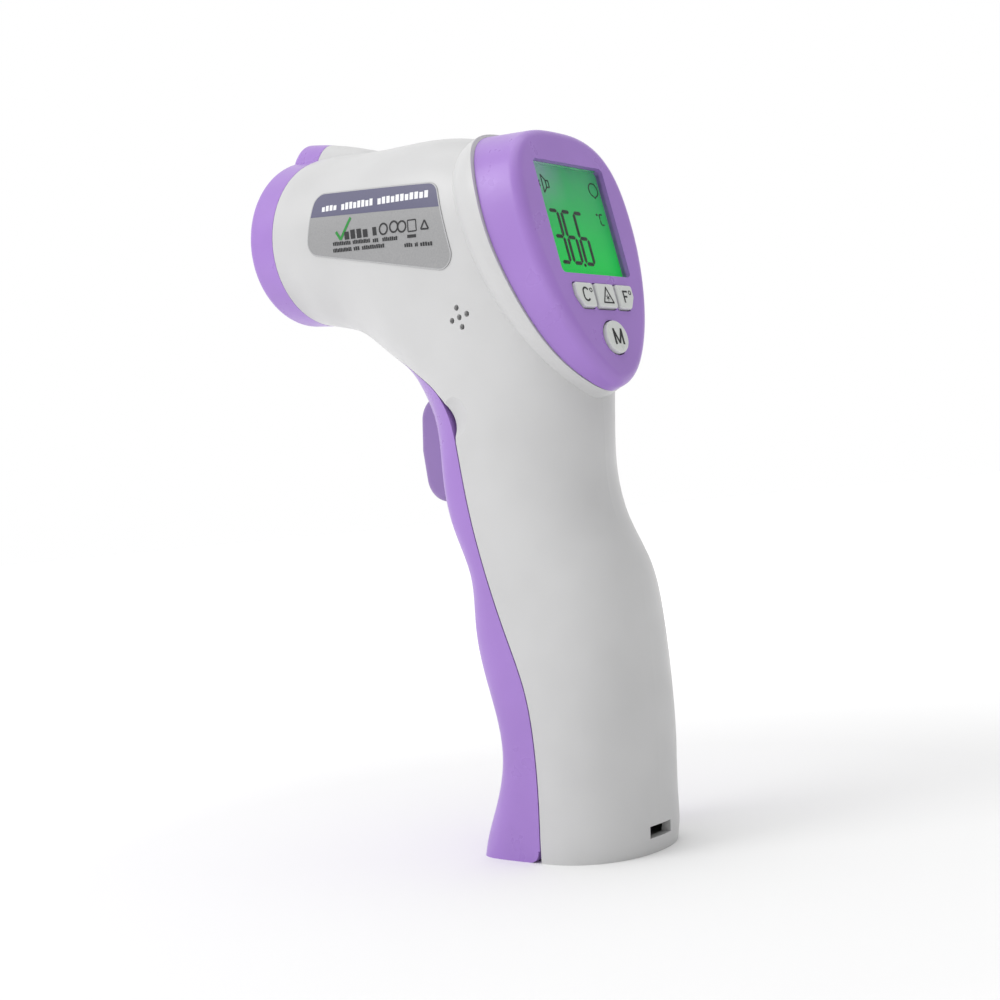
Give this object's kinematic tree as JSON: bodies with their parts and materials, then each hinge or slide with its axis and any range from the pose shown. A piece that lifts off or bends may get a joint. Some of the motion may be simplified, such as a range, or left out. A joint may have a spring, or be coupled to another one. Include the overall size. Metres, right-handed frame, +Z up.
{
  "type": "infrared thermometer",
  "caption": "Hand-held gun-shaped infrared thermometer: muzzle with sensor and aiming laser, trigger, rear display with keys, battery door down the grip.",
  "frame": {"origin": "on the flat base, under the grip, in the plane where the two housing halves meet", "axes": "+Z up along the grip, +X towards the side that the display faces, -X towards the muzzle, +Y to the right as the user holds it"},
  "size_m": [0.0969, 0.0428, 0.1719],
  "materials": {
    "white_shell": "fine satin moulded ABS",
    "lilac_shell": "satin moulded ABS",
    "key_cap": "satin cap",
    "dark_plastic": "fine textured",
    "natural_plastic": "plain moulded",
    "clear_window": "clear and glossy",
    "lcd_glass": "glass panel",
    "light_guide": "milky",
    "circuit_board": "solder mask",
    "rubber_strip": "soft",
    "black_component": "epoxy",
    "steel": "plated",
    "nickel": "nickel plated",
    "brass": "turned brass",
    "bright_tube": "polished",
    "silicon_filter": "coated silicon",
    "label": "printed film",
    "cell_wrap": "shrink sleeve",
    "white_plastic": "plain moulded"
  },
  "bodies": {
    "housing": {"left_housing": "white_shell", "right_housing": "white_shell", "housing_screws": "steel", "hinge_pin": "steel", "muzzle_ring": "lilac_shell", "muzzle_funnel": "dark_plastic", "sensor_cup": "bright_tube", "thermopile": "nickel", "sensor_filter": "silicon_filter", "sensor_holder": "white_plastic", "sensor_board": "circuit_board", "laser_module": "brass", "laser_window": "clear_window", "rear_bezel": "lilac_shell", "display_lens": "clear_window", "lcd_panel": "lcd_glass", "lcd_backlight": "light_guide", "lcd_connectors": "rubber_strip", "main_board": "circuit_board", "key_switches": "black_component", "controller_chip": "black_component", "board_components": "white_plastic", "board_screws": "steel", "buzzer": "dark_plastic", "side_label": "label", "trigger_spring": "steel", "trigger_switch": "black_component", "trigger_board": "circuit_board", "battery_tray": "natural_plastic", "cell_left": "cell_wrap", "cell_right": "cell_wrap", "contact_bridge": "nickel", "contact_plates": "nickel", "contact_springs": "nickel"},
    "door": {"battery_door": "lilac_shell"},
    "trigger": {"trigger": "lilac_shell"},
    "key_celsius": {"button_celsius": "key_cap"},
    "key_laser": {"button_laser": "key_cap"},
    "key_fahrenheit": {"button_fahrenheit": "key_cap"},
    "key_mode": {"button_mode": "key_cap"}
  },
  "joints": [
    {"name": "door_hinge", "type": "hinge", "parent": "housing", "child": "door", "pos_m": [-0.0029, 0, 0.0026], "axis": [0, -1, 0], "range_deg": [0, 70]},
    {"name": "trigger_pull", "type": "slide", "parent": "housing", "child": "trigger", "axis": [1, 0, 0], "range_m": [0, 0.0025], "stiffness_N_per_m": 900, "deforming": ["trigger_spring"]},
    {"name": "key_celsius_press", "type": "slide", "parent": "housing", "child": "key_celsius", "axis": [-0.9781, 0, -0.2079], "range_m": [0, 0.0007], "stiffness_N_per_m": 1500},
    {"name": "key_laser_press", "type": "slide", "parent": "housing", "child": "key_laser", "axis": [-0.9781, 0, -0.2079], "range_m": [0, 0.0007], "stiffness_N_per_m": 1500},
    {"name": "key_fahrenheit_press", "type": "slide", "parent": "housing", "child": "key_fahrenheit", "axis": [-0.9781, 0, -0.2079], "range_m": [0, 0.0007], "stiffness_N_per_m": 1500},
    {"name": "key_mode_press", "type": "slide", "parent": "housing", "child": "key_mode", "axis": [-0.9781, 0, -0.2079], "range_m": [0, 0.0007], "stiffness_N_per_m": 1500}
  ]
}
